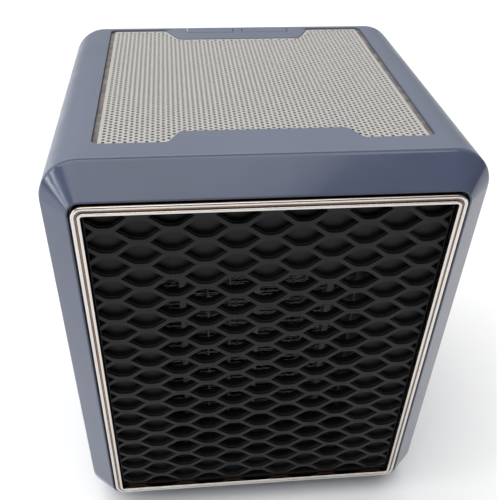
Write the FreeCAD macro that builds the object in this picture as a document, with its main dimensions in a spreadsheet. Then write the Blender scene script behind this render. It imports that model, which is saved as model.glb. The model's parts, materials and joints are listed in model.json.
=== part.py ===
"""Cube-shaped fan heater in a box housing, as an assembly of separate pieces.

Millimetres, +Z up. The origin is on the floor under the middle of the housing,
and the outlet grille faces -Y.
"""
import FreeCAD, Part
import math
import os
import re
import Sketcher

VECTOR = FreeCAD.Vector

# Driving dimensions. Y positions run from the front plane (-114) to the rear plane (+114).
DIMENSIONS = {
    # housing
    "body_width": 233, "body_height": 271, "half_depth": 114, "corner_radius": 22,
    "foot_height": 5, "foot_x": 88, "foot_y": 78, "peg_radius": 3, "shell_wall": 2.8,
    "seam_from_front": 16.6, "seam_gap": 0.6, "pilot_radius": 1.35, "screw_clearance": 1.9,
    "bevel_inset": 14.7, "rear_bevel_inset": 15, "rear_bevel_depth": 16.5, "rear_edge_radius": 9,
    # outlet frame and grille
    "trim_width": 199.4, "trim_height": 238, "trim_radius": 6.5, "trim_face": 5, "trim_stand": 1.6,
    "trim_bead": 0.5, "trim_channel": 0.7, "outer_bead": 1.9, "inner_bead": 1.5, "frame_back": -108,
    "bezel_set_back": 0.4, "opening_width": 201.8,
    "grille_front": -112.2, "grille_depth": 6.3, "blind_depth": 4.4, "grille_flange": 1.9,
    "cell_column": 16.9, "cell_row": 15.37, "cell_half_width": 11.5, "cell_half_height": 6,
    "cell_flat": 3.5, "cell_radius": 7, "cell_step": 0.6, "cell_step_depth": 1.5, "cell_phase": 10.5,
    "open_half_width": 60, "open_low": 46, "open_high": 209,
    # top window, its two tabs and the mesh
    "window_half_width": 89.7, "window_front": -82, "window_rear": 92.5, "window_radius": 4,
    "front_tab_edge": -70, "front_tab_half": 44.5, "rear_tab_edge": 74.5, "rear_tab_half": 42.5,
    "tab_base_half": 51, "rear_tab_radius": 7, "tab_bevel_reach": 6, "tab_bevel_drop": 0.8,
    "mesh_recess": 1.2, "mesh_thickness": 0.8, "mesh_ledge": 3, "filter_thickness": 0.8,
    "filter_clearance": 0.4,
    # push buttons
    "button_width": 32, "button_offset": 19.5, "button_front": 85.5, "button_rear": 104,
    "button_gap": 0.45, "button_wall": 2.3, "button_travel": 2.5, "stem_radius": 3, "stem_y": 92,
    "stem_length": 17, "bracket_z": 262.4, "bracket_thickness": 2, "board_z": 246.3,
    "board_thickness": 1.6, "switch_side": 12, "switch_height": 4, "spring_radius": 4.3,
    "spring_wire": 0.35, "spring_turns": 5,
    # heater and duct
    "duct_centre": 127.7, "duct_width": 126, "duct_height": 168, "duct_wall": 1.5,
    "duct_front": -103.9, "deck_front": -50, "deck_thickness": 2.5, "deck_clearance": 0.2,
    "deck_screw_x": 108.5, "deck_screw_z": 100, "heater_front": -76,
    "heater_depth": 20, "heater_clearance": 0.3, "heater_wall": 1.2, "post_width": 4,
    "post_spacing": 47, "rib_thickness": 1, "rib_inner": 17, "rib_outer": 31,
    "ribbon_pitch": 3.8, "ribbon_height": 1.2, "ribbon_thickness": 0.3, "ribbon_layer_gap": 5,
    "ribbon_end_space": 4, "bus_thickness": 0.6, "bus_clearance": 0.2,
    # fan and motor
    "orifice_radius": 61.5, "collar_length": 20, "collar_wall": 2, "hub_radius": 17,
    "hub_depth": 18, "fan_y": -37, "blade_count": 7, "blade_tip": 55, "blade_thickness": 1.8,
    "blade_angle": 35, "blade_root_chord": 17, "blade_tip_chord": 30, "shaft_radius": 2.5,
    "bearing_clearance": 0.05, "core_front": -6, "core_depth": 16, "core_half_width": 32,
    "core_top": 18, "core_bottom": 38, "rotor_radius": 13, "air_gap": 0.5, "bearing_radius": 5.5,
    "bearing_length": 7, "strap_width": 24, "strap_thickness": 2, "strap_rear": -16,
    "strap_half_span": 84, "foot_half_span": 100, "strap_screw_x": 94, "strap_screw_rise": 6,
    "motor_screw_x": 24, "motor_bolt_clearance": 2.2,
    # rear cover
    "cover_thickness": 2.5, "cover_recess": 2.2, "cover_gap": 0.3, "slot_width": 46, "slot_height": 4,
    "slot_pitch_x": 54, "slot_pitch_z": 9, "slot_rows": 17, "slots_centre": 8, "cover_screw_x": 91,
    "cover_screw_z": 107, "gland_x": 74, "gland_z": 33, "cord_radius": 3.8, "gland_radius": 7,
}

doc = FreeCAD.newDocument("fan_heater")
sheet = doc.addObject("Spreadsheet::Sheet", "dims")
for row, (alias, number) in enumerate(DIMENSIONS.items(), start=1):
    sheet.set(f"A{row}", alias)
    sheet.set(f"B{row}", str(number))
    sheet.setAlias(f"B{row}", alias)
doc.recompute()

PARTS = []
FACE_Z = "foot_height + body_height / 2"
SEAM = "seam_from_front - half_depth"
COVER_OUTSIDE = "half_depth - cover_recess"
POST_END = f"{COVER_OUTSIDE} - cover_thickness - 0.1"
MESH_UNDERSIDE = "foot_height + body_height - mesh_recess - mesh_thickness"
GLAND_END = "cover_recess + trim_stand + trim_bead"
LUG_FRONT = "deck_front + deck_thickness + deck_clearance"


# ---------------------------------------------------------------- helpers

def sheet_text(text):
    """The expression with each dimension word pointing at the sheet."""
    return re.sub(r"[a-z_]{3,}", lambda word: "dims." + word[0] if word[0] in DIMENSIONS else word[0],
                  str(text))


def number(text):
    """The present value of an expression in dimension words."""
    result = sheet.evalExpression(sheet_text(text))
    return float(getattr(result, "Value", result))


def bind(thing, prop, text):
    thing.setExpression(prop, sheet_text(text))


def place(thing, x=0, y=0, z=0, turn=None):
    """Put a sub-part where the expressions say, turned by (axis, degrees)."""
    if turn:
        thing.Placement.Rotation = FreeCAD.Rotation(VECTOR(*turn[0]), turn[1])
    for axis, text in (("x", x), ("y", y), ("z", z)):
        bind(thing, "Placement.Base." + axis, text)
    PARTS.append(thing)
    return thing


def new_body(label):
    body = doc.addObject("PartDesign::Body", label)
    body.Label = label
    return body


def new_sketch(body, plane_role, offset=0):
    """A sketch on one of the body's own origin planes, moved along its normal."""
    plane = next(item for item in body.Origin.OriginFeatures if item.Role == plane_role)
    sketch = body.newObject("Sketcher::SketchObject", body.Label + "_sketch")
    sketch.AttachmentSupport = (plane, "")
    sketch.MapMode = "FlatFace"
    if offset != 0:
        bind(sketch, "AttachmentOffset.Base.z", offset)
    return sketch


def fix_point(sketch, geometry, end, x, y):
    """Hold one point at its distances from the sketch's origin."""
    for kind, text in (("DistanceX", x), ("DistanceY", y)):
        index = sketch.addConstraint(Sketcher.Constraint(kind, -1, 1, geometry, end, number(text)))
        bind(sketch, f"Constraints[{index}]", text)


def circle(sketch, x, y, radius):
    ring = Part.Circle(VECTOR(number(x), number(y), 0), VECTOR(0, 0, 1), number(radius))
    index = sketch.addGeometry(ring)
    fix_point(sketch, index, 3, x, y)
    limit = sketch.addConstraint(Sketcher.Constraint("Radius", index, number(radius)))
    bind(sketch, f"Constraints[{limit}]", radius)


def outline(sketch, corners):
    """A closed outline through corners (x, y) or (x, y, radius of a tangent arc)."""
    count = len(corners)
    points = [VECTOR(number(corner[0]), number(corner[1]), 0) for corner in corners]
    before, after = [], []
    for index, corner in enumerate(corners):
        back = (points[index - 1] - points[index]).normalize()
        ahead = (points[(index + 1) % count] - points[index]).normalize()
        cut = number(corner[2]) / math.tan(back.getAngle(ahead) / 2) if len(corner) > 2 else 0
        before.append(points[index] + back * cut)
        after.append(points[index] + ahead * cut)
    lines = [sketch.addGeometry(Part.LineSegment(after[index], before[(index + 1) % count]))
             for index in range(count)]
    for index, corner in enumerate(corners):
        incoming, outgoing = lines[index - 1], lines[index]
        if len(corner) == 2:
            sketch.addConstraint(Sketcher.Constraint("Coincident", incoming, 2, outgoing, 1))
            fix_point(sketch, outgoing, 1, corner[0], corner[1])
            continue
        radius = number(corner[2])
        middle = (before[index] + after[index]) / 2 - points[index]
        reach = math.sqrt(radius ** 2 + (before[index] - points[index]).Length ** 2) - radius
        arc = sketch.addGeometry(Part.Arc(before[index], points[index] + middle.normalize() * reach,
                                          after[index]))
        first = 1 if sketch.getPoint(arc, 1).distanceToPoint(before[index]) < 1e-4 else 2
        corner_point = sketch.addGeometry(Part.Point(points[index]), True)
        sketch.addConstraint([
            Sketcher.Constraint("Tangent", incoming, 2, arc, first),
            Sketcher.Constraint("Tangent", arc, 3 - first, outgoing, 1),
            Sketcher.Constraint("PointOnObject", corner_point, 1, incoming),
            Sketcher.Constraint("PointOnObject", corner_point, 1, outgoing),
        ])
        fix_point(sketch, corner_point, 1, corner[0], corner[1])
        limit = sketch.addConstraint(Sketcher.Constraint("Radius", arc, radius))
        bind(sketch, f"Constraints[{limit}]", corner[2])


def rectangle(sketch, width, height, radius=None, x=0, y=0):
    """A rectangle about (x, y), with rounded corners where a radius is given."""
    sides = [(-1, -1), (1, -1), (1, 1), (-1, 1)]
    tail = (radius,) if radius else ()
    outline(sketch, [(f"({x}) + {i} * ({width}) / 2", f"({y}) + {j} * ({height}) / 2") + tail
                     for i, j in sides])


def extrude(body, kind, sketch, length, reverse=False, centred=False):
    feature = body.newObject("PartDesign::" + kind, f"{body.Label}_{kind.lower()}")
    feature.Profile = sketch
    feature.Reversed = reverse
    if centred:
        feature.SideType = "Symmetric"
    bind(feature, "Length", length)
    doc.recompute()
    return feature


def pad(body, sketch, length, reverse=False, centred=False):
    """Material along the sketch's normal: -Y from XZ_Plane, +Z from XY_Plane, +X from YZ_Plane."""
    return extrude(body, "Pad", sketch, length, reverse, centred)


def pocket(body, sketch, length, reverse=False, centred=False):
    """Cut against the sketch's normal; the volume must go down."""
    volume = body.Shape.Volume
    feature = extrude(body, "Pocket", sketch, length, reverse, centred)
    if body.Shape.Volume >= volume - 1e-6:
        raise RuntimeError(f"{feature.Label} cuts nothing")
    return feature


def sweep(body, path, profile):
    """One section carried round a closed frame."""
    feature = body.newObject("PartDesign::AdditivePipe", body.Label + "_sweep")
    feature.Profile = profile
    feature.Spine = path
    feature.Mode = "Standard"
    doc.recompute()
    return feature


def make_box(name, width, depth, height):
    solid = doc.addObject("Part::Box", name)
    for prop, text in (("Length", width), ("Width", depth), ("Height", height)):
        bind(solid, prop, text)
    return solid


def box_at(name, x, y, z, width, depth, height):
    """A box by its lowest corner and its sizes."""
    solid = make_box(name, width, depth, height)
    for axis, text in (("x", x), ("y", y), ("z", z)):
        bind(solid, "Placement.Base." + axis, text)
    return solid


def cylinder_at(name, x, y, z, radius, height, along="z"):
    """A round bar from (x, y, z) along +Y or +Z."""
    solid = doc.addObject("Part::Cylinder", name)
    bind(solid, "Radius", radius)
    bind(solid, "Height", height)
    if along == "y":
        solid.Placement.Rotation = FreeCAD.Rotation(VECTOR(1, 0, 0), -90)
    for axis, text in (("x", x), ("y", y), ("z", z)):
        bind(solid, "Placement.Base." + axis, text)
    return solid


def fuse(name, pieces):
    joined = doc.addObject("Part::MultiFuse", name)
    joined.Shapes = pieces
    return joined


def cut(name, base, tool):
    result = doc.addObject("Part::Cut", name)
    result.Base = base
    result.Tool = tool
    return result


def group(name, pieces):
    """Several separate solids in one node."""
    compound = doc.addObject("Part::Compound", name)
    compound.Links = pieces
    return compound


def fixed(name, thing):
    """Label a finished boolean or group and hand it in as a sub-part."""
    thing.Label = name
    PARTS.append(thing)
    return thing


# ---------------------------------------------------------------- housing

def frame_path(body, half_w, half_h, radius):
    """A rounded rectangle in the XZ plane that starts at the middle of its top side."""
    path = new_sketch(body, "XZ_Plane")
    outline(path, [("0", half_h), (half_w, half_h, radius), (half_w, f"-{half_h}", radius),
                   (f"-{half_w}", f"-{half_h}", radius), (f"-{half_w}", half_h, radius)])
    return path


def window_corners(inset=0, bevel=0):
    """The top window: a rectangle with a tab standing in from its front and rear edges.

    The inset makes the window smaller all round; the bevel draws only the rear tab's edge back.
    """
    half = f"window_half_width - ({inset})"
    front, rear = f"window_front + ({inset})", f"window_rear - ({inset})"
    base = f"tab_base_half + ({inset})"
    rear_edge = f"rear_tab_edge - ({inset}) + {bevel}"
    right = [(f"front_tab_half + ({inset})", f"front_tab_edge + ({inset})", 3), (base, front, 3),
             (half, front, "window_radius"), (half, rear, "window_radius"),
             (f"{base} - {bevel}", rear, 3),
             (f"rear_tab_half + ({inset}) - {bevel}", rear_edge, "rear_tab_radius")]
    left = [(f"-({x})", y, r) for x, y, r in reversed(right)]
    return right + left


def main_shell():
    shell = new_body("main_shell")
    path = frame_path(shell, "body_width / 2", "body_height / 2", "corner_radius")
    section = new_sketch(shell, "YZ_Plane")
    top, rear = "body_height / 2", "half_depth"
    front = f"{SEAM} + seam_gap"
    inner = f"{top} - shell_wall"
    rim = f"{top} - rear_bevel_inset - 1.2"
    outline(section, [(front, top, 0.8), (f"{rear} - rear_bevel_depth", top, "rear_edge_radius"),
                      (rear, f"{top} - rear_bevel_inset"), (rear, rim), (f"{rear} - 6", rim),
                      (f"{rear} - rear_bevel_depth - 1.5", inner), (front, inner)])
    sweep(shell, path, section)
    for inset, depth in ((0, "mesh_recess + mesh_thickness + 0.05"), ("mesh_ledge", "shell_wall + 2")):
        window = new_sketch(shell, "XY_Plane", top)
        outline(window, window_corners(inset))
        pocket(shell, window, depth)
    lip = new_sketch(shell, "XY_Plane", f"{top} - tab_bevel_drop")
    outline(lip, window_corners())
    crest = new_sketch(shell, "XY_Plane", top)
    outline(crest, window_corners(0, "tab_bevel_reach"))
    slope = shell.newObject("PartDesign::SubtractiveLoft", "tab_bevel")
    slope.Profile = lip
    slope.Sections = [crest]
    slope.Ruled = True
    doc.recompute()
    openings = new_sketch(shell, "XY_Plane", top)
    for side in (-1, 1):
        rectangle(openings, "button_width + 2 * button_gap", "button_rear - button_front + 2 * button_gap",
                  1, f"{side} * button_offset", "(button_front + button_rear) / 2")
    pocket(shell, openings, 14)
    for level in (-1, 1):
        posts = new_sketch(shell, "XY_Plane", f"{level} * cover_screw_z")
        lugs = new_sketch(shell, "XY_Plane", f"{level} * deck_screw_z")
        for side in (-1, 1):
            outline(posts, [(f"{side} * {x}", y) for x, y in (
                (86, 84), (114.5, 84), (114.5, 95), (101.5, 108), (101.5, POST_END), (86, POST_END))])
            outline(lugs, [(f"{side} * {x}", y) for x, y in (
                (104, LUG_FRONT), (114.5, LUG_FRONT), (114.5, -22), (104, -30))])
        pad(shell, posts, 10, centred=True)
        pad(shell, lugs, 12, centred=True)
    pilots = new_sketch(shell, "XZ_Plane", f"-({POST_END})")
    tapped = new_sketch(shell, "XZ_Plane", f"-({LUG_FRONT})")
    for side in (-1, 1):
        for level in (-1, 1):
            circle(pilots, f"{side} * cover_screw_x", f"{level} * cover_screw_z", "pilot_radius")
            circle(tapped, f"{side} * deck_screw_x", f"{level} * deck_screw_z", "pilot_radius")
    pocket(shell, pilots, 18, reverse=True)
    pocket(shell, tapped, 14)
    pegs = new_sketch(shell, "XY_Plane", f"-{top}")
    for side in (-1, 1):
        for end in (-1, 1):
            circle(pegs, f"{side} * foot_x", f"{end} * foot_y", "peg_radius + 0.1")
    pocket(shell, pegs, "shell_wall + 1", reverse=True)
    return place(shell, z=FACE_Z)


def front_bezel():
    bezel = new_body("front_bezel")
    path = frame_path(bezel, "body_width / 2", "body_height / 2", "corner_radius")
    section = new_sketch(bezel, "YZ_Plane")
    top, front = "body_height / 2", "bezel_set_back - half_depth"
    opening = f"{top} - (body_width - opening_width) / 2"
    outline(section, [(SEAM, top, 0.6), (f"{SEAM} - 1.6", top, 2.2), (front, f"{top} - bevel_inset"),
                      (front, opening), ("frame_back", opening), ("frame_back", f"{opening} - 5.3"),
                      (-106, f"{opening} - 5.3"), (-106, f"{top} - 12.7"), (-108.2, f"{top} - 12.7"),
                      (-100.1, f"{top} - 4.6"), (-92.5, f"{top} - 4.6"), (-92.5, f"{top} - 3.1"),
                      (SEAM, f"{top} - 3.1")])
    sweep(bezel, path, section)
    return place(bezel, z=FACE_Z)


def chrome_trim():
    trim = new_body("chrome_trim")
    outer = "trim_height / 2"
    path = frame_path(trim, "trim_width / 2", outer, "trim_radius")
    section = new_sketch(trim, "YZ_Plane")
    inner = f"{outer} - trim_face"
    front = "-half_depth - trim_stand"
    channel = f"{front} + trim_channel"
    outline(section, [("frame_back", outer), (front, outer, 1.1), (front, f"{outer} - outer_bead", 0.6),
                      (channel, f"{outer} - outer_bead - 0.3"), (channel, f"{inner} + inner_bead + 0.4"),
                      (f"{front} - trim_bead", f"{inner} + inner_bead", 0.4),
                      (f"{front} - trim_bead", inner, 0.5), ("frame_back", inner)])
    sweep(trim, path, section)
    return place(trim, z=FACE_Z)


def top_mesh():
    sheet_metal = new_body("top_mesh")
    shape = new_sketch(sheet_metal, "XY_Plane")
    outline(shape, window_corners(0.2))
    pad(sheet_metal, shape, "mesh_thickness")
    return place(sheet_metal, z=MESH_UNDERSIDE)


def dust_filter():
    """The pale felt under the mesh, inside the ledge that the mesh lies on."""
    felt = new_body("dust_filter")
    shape = new_sketch(felt, "XY_Plane")
    outline(shape, window_corners("mesh_ledge + filter_clearance"))
    pad(felt, shape, "filter_thickness")
    return place(felt, z=f"{MESH_UNDERSIDE} - filter_thickness - 0.1")


def rear_cover():
    cover = new_body("rear_cover")
    panel = new_sketch(cover, "XZ_Plane")
    rectangle(panel, "body_width - 2 * rear_bevel_inset - 2.4 - 2 * cover_gap",
              "body_height - 2 * rear_bevel_inset - 2.4 - 2 * cover_gap", "corner_radius - 16.5")
    pad(cover, panel, "cover_thickness", reverse=True)
    first = new_sketch(cover, "XZ_Plane")
    rectangle(first, "slot_width", "slot_height", 1.5, "-slot_pitch_x",
              "slots_centre - slot_pitch_z * (slot_rows - 1) / 2")
    slot = pocket(cover, first, "2 * cover_thickness + 2", centred=True)
    grid = cover.newObject("PartDesign::MultiTransform", "slot_grid")
    grid.Originals = [slot]
    across = cover.newObject("PartDesign::LinearPattern", "slots_across")
    across.Direction = (first, ["H_Axis"])
    bind(across, "Length", "2 * slot_pitch_x")
    across.Occurrences = 3
    upward = cover.newObject("PartDesign::LinearPattern", "slots_upward")
    upward.Direction = (first, ["V_Axis"])
    bind(upward, "Length", "slot_pitch_z * (slot_rows - 1)")
    bind(upward, "Occurrences", "slot_rows")
    grid.Transformations = [across, upward]
    cover.Tip = grid
    doc.recompute()
    holes = new_sketch(cover, "XZ_Plane")
    for side in (-1, 1):
        for level in (-1, 1):
            circle(holes, f"{side} * cover_screw_x", f"{level} * cover_screw_z", "screw_clearance")
    circle(holes, "gland_x", f"gland_z - ({FACE_Z})", "gland_radius + 0.1")
    pocket(cover, holes, "2 * cover_thickness + 2", centred=True)
    return place(cover, y=f"{COVER_OUTSIDE} - cover_thickness", z=FACE_Z)


def rubber_feet():
    feet = []
    for side in (-1, 1):
        for end in (-1, 1):
            tag = f"{'left' if side < 0 else 'right'}_{'front' if end < 0 else 'rear'}"
            pad_part = doc.addObject("Part::Cone", "foot_pad_" + tag)
            pad_part.Radius1, pad_part.Radius2 = 8, 9.5
            bind(pad_part, "Height", "foot_height")
            bind(pad_part, "Placement.Base.x", f"{side} * foot_x")
            bind(pad_part, "Placement.Base.y", f"{end} * foot_y")
            peg = cylinder_at("foot_peg_" + tag, f"{side} * foot_x", f"{end} * foot_y",
                              "foot_height - 1", "peg_radius", "shell_wall + 1")
            feet.append(fuse("foot_" + tag, [pad_part, peg]))
    return fixed("rubber_feet", group("rubber_feet_group", feet))


def cord_gland():
    gland = new_body("cord_gland")
    flange = new_sketch(gland, "XZ_Plane")
    circle(flange, 0, 0, "gland_radius + 2.5")
    pad(gland, flange, "cover_recess", reverse=True)
    collar = new_sketch(gland, "XZ_Plane")
    circle(collar, 0, 0, "gland_radius - 0.5")
    pad(gland, collar, GLAND_END, reverse=True)
    neck = new_sketch(gland, "XZ_Plane")
    circle(neck, 0, 0, "gland_radius")
    pad(gland, neck, 12)
    bore = new_sketch(gland, "XZ_Plane")
    circle(bore, 0, 0, "cord_radius")
    pocket(gland, bore, 40, centred=True)
    return place(gland, x="gland_x", y=COVER_OUTSIDE, z="gland_z")


# ---------------------------------------------------------------- outlet grille

def cell_wire(centre_x, centre_z, shrink):
    """One grille cell: a long hexagon with rounded flats and pointed ends, in the XZ plane."""
    half_w = number("cell_half_width") - shrink * 1.5
    half_h = number("cell_half_height") - shrink
    flat, radius = number("cell_flat"), number("cell_radius")
    corners = [(half_w, 0, 0), (flat, half_h, radius), (-flat, half_h, radius),
               (-half_w, 0, 0), (-flat, -half_h, radius), (flat, -half_h, radius)]
    edges, count = [], len(corners)
    points = [VECTOR(x, 0, z) for x, z, _ in corners]
    entries, exits = [], []
    for index, (_, _, rounding) in enumerate(corners):
        back = (points[index - 1] - points[index]).normalize()
        ahead = (points[(index + 1) % count] - points[index]).normalize()
        reach = rounding / math.tan(back.getAngle(ahead) / 2)
        entries.append(points[index] + back * reach)
        exits.append(points[index] + ahead * reach)
    for index, (_, _, rounding) in enumerate(corners):
        if rounding:
            toward = ((entries[index] + exits[index]) / 2 - points[index]).normalize()
            span = (entries[index] - points[index]).Length
            middle = points[index] + toward * (math.hypot(rounding, span) - rounding)
            edges.append(Part.Arc(entries[index], middle, exits[index]).toShape())
        edges.append(Part.makeLine(exits[index], entries[(index + 1) % count]))
    wire = Part.Wire(edges)
    wire.translate(VECTOR(centre_x, 0, centre_z))
    return wire


def grille_cells():
    """Every cell as a stepped prism: through in front of the duct, blind elsewhere."""
    column, row = number("cell_column"), number("cell_row")
    middle = number(FACE_Z)
    half_w = number("trim_width / 2 - trim_face - 0.9")
    half_h = number("trim_height / 2 - trim_face - 0.9")
    front, step = number("grille_front"), number("cell_step_depth")
    window = Part.Face(Part.makePolygon([VECTOR(x, 0, middle + z) for x, z in (
        (-half_w, -half_h), (half_w, -half_h), (half_w, half_h), (-half_w, half_h), (-half_w, -half_h))]))
    tools = []
    for index in range(-6, 7):
        x = index * column
        start = middle + number("cell_phase") + (row / 2 if index % 2 else 0)
        for step_index in range(-9, 9):
            z = start + step_index * row
            is_open = abs(x) < number("open_half_width") and number("open_low") < z < number("open_high")
            depth = number("grille_depth + grille_flange + 1") if is_open else number("blind_depth")
            for shrink, reach in ((0, step), (number("cell_step"), depth)):
                face = Part.Face(cell_wire(x, z, shrink)).common(window)
                for piece in face.Faces:
                    if piece.Area > 1:
                        piece.translate(VECTOR(0, front - 0.5, 0))
                        tools.append(piece.extrude(VECTOR(0, reach + 0.5, 0)))
    cells = doc.addObject("Part::Feature", "grille_cells")
    cells.Shape = Part.makeCompound(tools)
    return cells


def front_grille():
    lattice = box_at("grille_lattice", "-(trim_width / 2 - trim_face - 0.4)", "grille_front",
                     f"{FACE_Z} - (trim_height / 2 - trim_face - 0.4)", "trim_width - 2 * trim_face - 0.8",
                     "grille_depth", "trim_height - 2 * trim_face - 0.8")
    flange = box_at("grille_flange_plate", -99, "grille_front + grille_depth", f"{FACE_Z} - 118", 198,
                    "grille_flange", 236)
    blank = fuse("grille_blank", [lattice, flange])
    window = box_at("grille_duct_window", "-duct_width / 2", "grille_front + grille_depth - 0.01",
                    "duct_centre - duct_height / 2", "duct_width", "grille_flange + 1", "duct_height")
    return fixed("front_grille", cut("grille_open", cut("grille_pierced", blank, grille_cells()), window))


# ---------------------------------------------------------------- duct and heater

def outlet_duct():
    duct = new_body("outlet_duct")
    wall = new_sketch(duct, "XZ_Plane")
    rectangle(wall, "duct_width", "duct_height")
    rectangle(wall, "duct_width + 2 * duct_wall", "duct_height + 2 * duct_wall")
    pad(duct, wall, "deck_front - duct_front - 0.1", reverse=True)
    flange = new_sketch(duct, "XZ_Plane")
    rectangle(flange, "duct_width", "duct_height")
    rectangle(flange, "duct_width + 16", "duct_height + 12", 3)
    pad(duct, flange, "duct_wall", reverse=True)
    return place(duct, y="duct_front", z="duct_centre")


def heater_frame():
    frame = new_body("heater_frame")
    ring = new_sketch(frame, "XZ_Plane")
    outer = ("duct_width - 2 * heater_clearance", "duct_height - 2 * heater_clearance")
    rectangle(ring, *outer)
    rectangle(ring, f"{outer[0]} - 2 * heater_wall", f"{outer[1]} - 2 * heater_wall")
    pad(frame, ring, "heater_depth", reverse=True)
    return place(frame, y="heater_front", z="duct_centre")


def mica_supports(name, places, width, depth):
    """Upright mica strips that carry the heating ribbons, one solid each."""
    height = "duct_height - 2 * heater_clearance - 2 * heater_wall - 0.2"
    front = f"heater_front + (heater_depth - {depth}) / 2"
    strips = [box_at(f"{name}_{index}", f"{x} - {width} / 2", front, f"duct_centre - ({height}) / 2",
                     width, depth, height)
              for index, x in enumerate(places)]
    return fixed(name, group(name + "_group", strips))


def heating_wire(name, layer):
    """One circuit, a layer of two: level ribbons joined by a bus strip at each side of the frame."""
    inner_height = number("duct_height - 2 * heater_clearance - 2 * heater_wall")
    half_width = number("duct_width / 2 - heater_clearance - heater_wall - bus_clearance")
    pitch, height = number("ribbon_pitch"), number("ribbon_height")
    thickness, bus = number("ribbon_thickness"), number("bus_thickness")
    y = number(f"heater_front + heater_depth / 2 + {layer} * ribbon_layer_gap / 2") - thickness / 2
    rows = int((inner_height - 2 * number("ribbon_end_space")) / pitch)
    bottom = number("duct_centre") - rows * pitch / 2 + (layer + 1) * pitch / 4 - height / 2
    bars = [Part.makeBox(2 * half_width, thickness, height, VECTOR(-half_width, y, bottom + row * pitch))
            for row in range(rows)]
    for left in (-half_width, half_width - bus):
        bars.append(Part.makeBox(bus, thickness, (rows - 1) * pitch + height, VECTOR(left, y, bottom)))
    wire = doc.addObject("Part::Feature", name + "_ribbons")
    wire.Shape = bars[0].multiFuse(bars[1:])
    return fixed(name, wire)


def thermal_cutout():
    top = "duct_centre + duct_height / 2 + duct_wall + 0.1"
    disc = cylinder_at("cutout_disc", 24, "heater_front + 8", top, 8, 6)
    cap = cylinder_at("cutout_cap", 24, "heater_front + 8", f"{top} + 6", 5.5, 4)
    return fixed("thermal_cutout", fuse("cutout_case", [disc, cap]))


def thermal_fuse():
    top = "duct_centre + duct_height / 2 + duct_wall + 0.1"
    bed = box_at("fuse_bed", -32, "heater_front + 2", top, 16, 8, 1.5)
    tube = cylinder_at("fuse_tube", -24, "heater_front + 0.5", f"{top} + 3.4", 2.2, 11, along="y")
    return fixed("thermal_fuse", fuse("fuse_case", [bed, tube]))


# ---------------------------------------------------------------- fan and motor

def fan_shroud():
    shroud = new_body("fan_shroud")
    centre = f"duct_centre - ({FACE_Z})"
    plate = new_sketch(shroud, "XZ_Plane")
    rectangle(plate, "body_width - 2 * shell_wall - 0.8", "body_height - 2 * shell_wall - 0.8",
              "corner_radius - shell_wall - 0.4")
    circle(plate, 0, centre, "orifice_radius")
    pad(shroud, plate, "deck_thickness", reverse=True)
    collar = new_sketch(shroud, "XZ_Plane")
    circle(collar, 0, centre, "orifice_radius")
    circle(collar, 0, centre, "orifice_radius + collar_wall")
    pad(shroud, collar, "deck_thickness + collar_length", reverse=True)
    holes = new_sketch(shroud, "XZ_Plane")
    for side in (-1, 1):
        for level in (-1, 1):
            circle(holes, f"{side} * deck_screw_x", f"{level} * deck_screw_z", "screw_clearance")
            circle(holes, f"{side} * strap_screw_x", f"{centre} + {level} * strap_screw_rise", 1.3)
    pocket(shroud, holes, 12, centred=True)
    return place(shroud, y="deck_front", z=FACE_Z)


def blade_section(body, distance, chord, lead):
    """A slanted blade section at a distance from the axis, on a plane across the radius."""
    section = new_sketch(body, "YZ_Plane", distance)
    angle = number("blade_angle")
    along = (math.sin(math.radians(angle)), math.cos(math.radians(angle)))
    across = (along[1], -along[0])
    corners = []
    for end, side in ((-1, -1), (1, -1), (1, 1), (-1, 1)):
        y = f"{end * along[0]:.5f} * {chord} / 2 + {side * across[0]:.5f} * blade_thickness / 2"
        z = f"{end * along[1]:.5f} * {chord} / 2 + {side * across[1]:.5f} * blade_thickness / 2 + {lead}"
        corners.append((y, z))
    outline(section, corners)
    return section


def impeller():
    fan = new_body("impeller")
    hub = new_sketch(fan, "XZ_Plane")
    circle(hub, 0, 0, "hub_radius")
    pad(fan, hub, "hub_depth", centred=True)
    root = blade_section(fan, "hub_radius - 4", "blade_root_chord", 0)
    tip = blade_section(fan, "blade_tip", "blade_tip_chord", 6)
    blade = fan.newObject("PartDesign::AdditiveLoft", "blade")
    blade.Profile = root
    blade.Sections = [tip]
    blade.Ruled = True
    doc.recompute()
    ring = fan.newObject("PartDesign::PolarPattern", "blades")
    ring.Originals = [blade]
    ring.Axis = (hub, ["N_Axis"])
    ring.Angle = 360
    bind(ring, "Occurrences", "blade_count")
    fan.Tip = ring
    doc.recompute()
    bore = new_sketch(fan, "XZ_Plane")
    circle(bore, 0, 0, "shaft_radius + 0.02")
    pocket(fan, bore, 60, centred=True)
    recess = new_sketch(fan, "XZ_Plane", "-hub_depth / 2")
    circle(recess, 0, 0, "hub_radius - 2.5")
    circle(recess, 0, 0, "shaft_radius + 4")
    pocket(fan, recess, 13, reverse=True)
    return place(fan, y="fan_y", z="duct_centre")


def motor_shaft():
    return fixed("motor_shaft", cylinder_at("shaft_bar", 0, -48.5, "duct_centre", "shaft_radius", 70, "y"))


def ring_at(name, y, outer, inner, length):
    """A round ring about the fan's axis."""
    outside = cylinder_at(name + "_outside", 0, y, "duct_centre", outer, length, "y")
    inside = cylinder_at(name + "_inside", 0, f"({y}) - 1", "duct_centre", inner, f"({length}) + 2", "y")
    return cut(name, outside, inside)


def rotor_parts():
    fixed("hub_clip", ring_at("clip_ring", "fan_y - hub_depth / 2 - 1.2", 6, "shaft_radius + 0.02", 1.1))
    fixed("rotor_core", ring_at("rotor_stack", "core_front", "rotor_radius", "shaft_radius + 0.02",
                                "core_depth"))
    ends = [ring_at(f"end_ring_{index}", y, "rotor_radius - 0.6", "shaft_radius + 3", 1.6)
            for index, y in enumerate(("core_front - 1.65", "core_front + core_depth + 0.05"))]
    fixed("rotor_end_rings", group("end_ring_pair", ends))


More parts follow.
